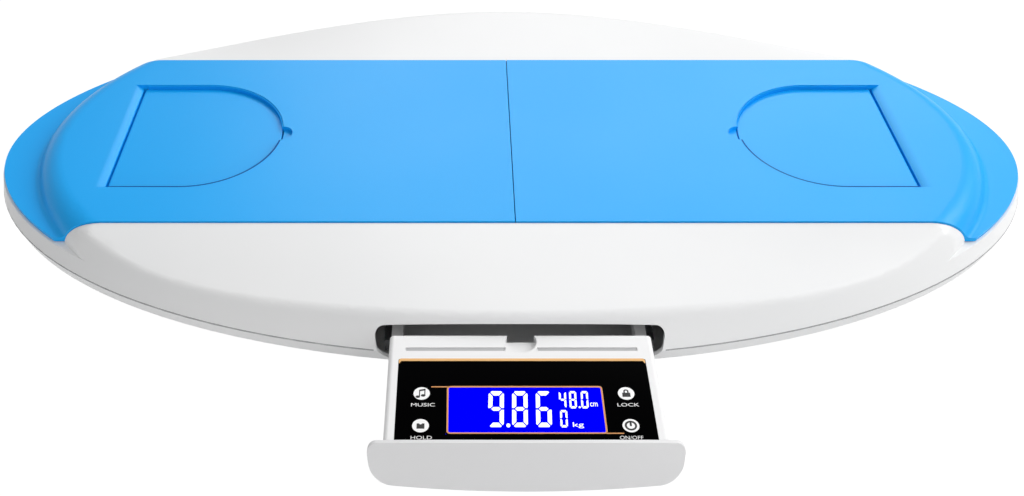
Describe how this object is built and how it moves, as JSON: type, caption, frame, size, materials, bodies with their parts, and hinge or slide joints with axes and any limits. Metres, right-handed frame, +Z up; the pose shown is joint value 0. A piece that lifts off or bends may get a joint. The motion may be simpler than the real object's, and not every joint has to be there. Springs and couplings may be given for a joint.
{
  "type": "digital baby weighing scale",
  "caption": "Low oval baby scale: white casing, blue lying deck of sliding trays with fold-up end flaps, and a pull-out readout drawer with round keys.",
  "frame": {"origin": "on the floor under the middle of the whole scale with its readout drawer pulled out", "axes": "+X along the lying surface, +Y from the readout drawer (front) to the rear, +Z up"},
  "size_m": [0.636, 0.4162, 0.055],
  "materials": {
    "white_shell": "glossy white moulded casing",
    "front_plate": "satin white drawer front",
    "blue_tray": "glossy sky-blue moulding",
    "black_panel": "gloss black readout panel",
    "lcd_blue": "backlit blue readout",
    "button_white": "white round keys",
    "nylon": "natural nylon",
    "foot_grey": "grey foot cup",
    "pad_rubber": "soft dark rubber",
    "cell_metal": "bent steel plate",
    "zinc_can": "metal sensor housing",
    "screw_steel": "zinc-plated",
    "contact_metal": "plated contact metal",
    "circuit_board": "green circuit board",
    "switch_black": "black component body",
    "cell_wrap": "printed-can battery cell, bare of marks"
  },
  "bodies": {
    "base": {"top_shell": "white_shell", "bottom_shell": "white_shell", "shell_screws": "screw_steel", "left_drawer_rail": "nylon", "right_drawer_rail": "nylon", "encoder_body": "zinc_can", "main_board": "circuit_board", "board_screws": "screw_steel", "main_board_parts": "switch_black", "speaker": "switch_black", "battery_cells": "cell_wrap", "battery_contacts": "contact_metal", "battery_door": "white_shell", "foot_pad_front_left": "pad_rubber", "foot_cup_front_left": "foot_grey", "load_cell_front_left": "cell_metal", "foot_pad_front_right": "pad_rubber", "foot_cup_front_right": "foot_grey", "load_cell_front_right": "cell_metal", "foot_pad_rear_left": "pad_rubber", "foot_cup_rear_left": "foot_grey", "load_cell_rear_left": "cell_metal", "foot_pad_rear_right": "pad_rubber", "foot_cup_rear_right": "foot_grey", "load_cell_rear_right": "cell_metal"},
    "left_tray_body": {"left_tray": "blue_tray", "left_tray_glides": "nylon", "left_tray_screws": "screw_steel", "left_rack": "nylon"},
    "right_tray_body": {"right_tray": "blue_tray", "right_tray_glides": "nylon", "right_tray_screws": "screw_steel", "right_rack": "nylon"},
    "left_flap_body": {"left_flap": "blue_tray", "left_flap_pins": "screw_steel"},
    "right_flap_body": {"right_flap": "blue_tray", "right_flap_pins": "screw_steel"},
    "pinion_body": {"encoder_pinion": "nylon"},
    "drawer_body": {"drawer_front_plate": "front_plate", "drawer_case": "white_shell", "drawer_base_cover": "white_shell", "drawer_screws": "screw_steel", "display_panel": "black_panel", "lcd_module": "lcd_blue", "display_board": "circuit_board", "tact_switches": "switch_black"},
    "music_button_body": {"music_button": "button_white"},
    "hold_button_body": {"hold_button": "button_white"},
    "lock_button_body": {"lock_button": "button_white"},
    "power_button_body": {"power_button": "button_white"}
  },
  "joints": [
    {"name": "drawer_slide", "type": "slide", "parent": "base", "child": "drawer_body", "axis": [0, 1, 0], "range_m": [0, 0.076]},
    {"name": "left_tray_slide", "type": "slide", "parent": "base", "child": "left_tray_body", "axis": [-1, 0, 0], "range_m": [0, 0.16]},
    {"name": "right_tray_slide", "type": "slide", "parent": "base", "child": "right_tray_body", "axis": [1, 0, 0], "range_m": [0, 0.16]},
    {"name": "encoder_spin", "type": "hinge", "parent": "base", "child": "pinion_body", "pos_m": [0, 0.03961, 0.034], "axis": [0, 0, 1], "range_deg": [0, 1146]},
    {"name": "left_flap_hinge", "type": "hinge", "parent": "left_tray_body", "child": "left_flap_body", "pos_m": [-0.2385, 0.03961, 0.0505], "axis": [0, -1, 0], "range_deg": [0, 90]},
    {"name": "right_flap_hinge", "type": "hinge", "parent": "right_tray_body", "child": "right_flap_body", "pos_m": [0.2385, 0.03961, 0.0505], "axis": [0, 1, 0], "range_deg": [0, 90]},
    {"name": "music_button_press", "type": "slide", "parent": "drawer_body", "child": "music_button_body", "axis": [0, 0, -1], "range_m": [0, 0.0008], "stiffness_N_per_m": 400, "springref_m": -0.0004},
    {"name": "hold_button_press", "type": "slide", "parent": "drawer_body", "child": "hold_button_body", "axis": [0, 0, -1], "range_m": [0, 0.0008], "stiffness_N_per_m": 400, "springref_m": -0.0004},
    {"name": "lock_button_press", "type": "slide", "parent": "drawer_body", "child": "lock_button_body", "axis": [0, 0, -1], "range_m": [0, 0.0008], "stiffness_N_per_m": 400, "springref_m": -0.0004},
    {"name": "power_button_press", "type": "slide", "parent": "drawer_body", "child": "power_button_body", "axis": [0, 0, -1], "range_m": [0, 0.0008], "stiffness_N_per_m": 400, "springref_m": -0.0004}
  ],
  "couplings": [
    {"joint": "right_tray_slide", "follows": "left_tray_slide", "ratio": 1},
    {"joint": "encoder_spin", "follows": "left_tray_slide", "rad_per_m": 125}
  ]
}
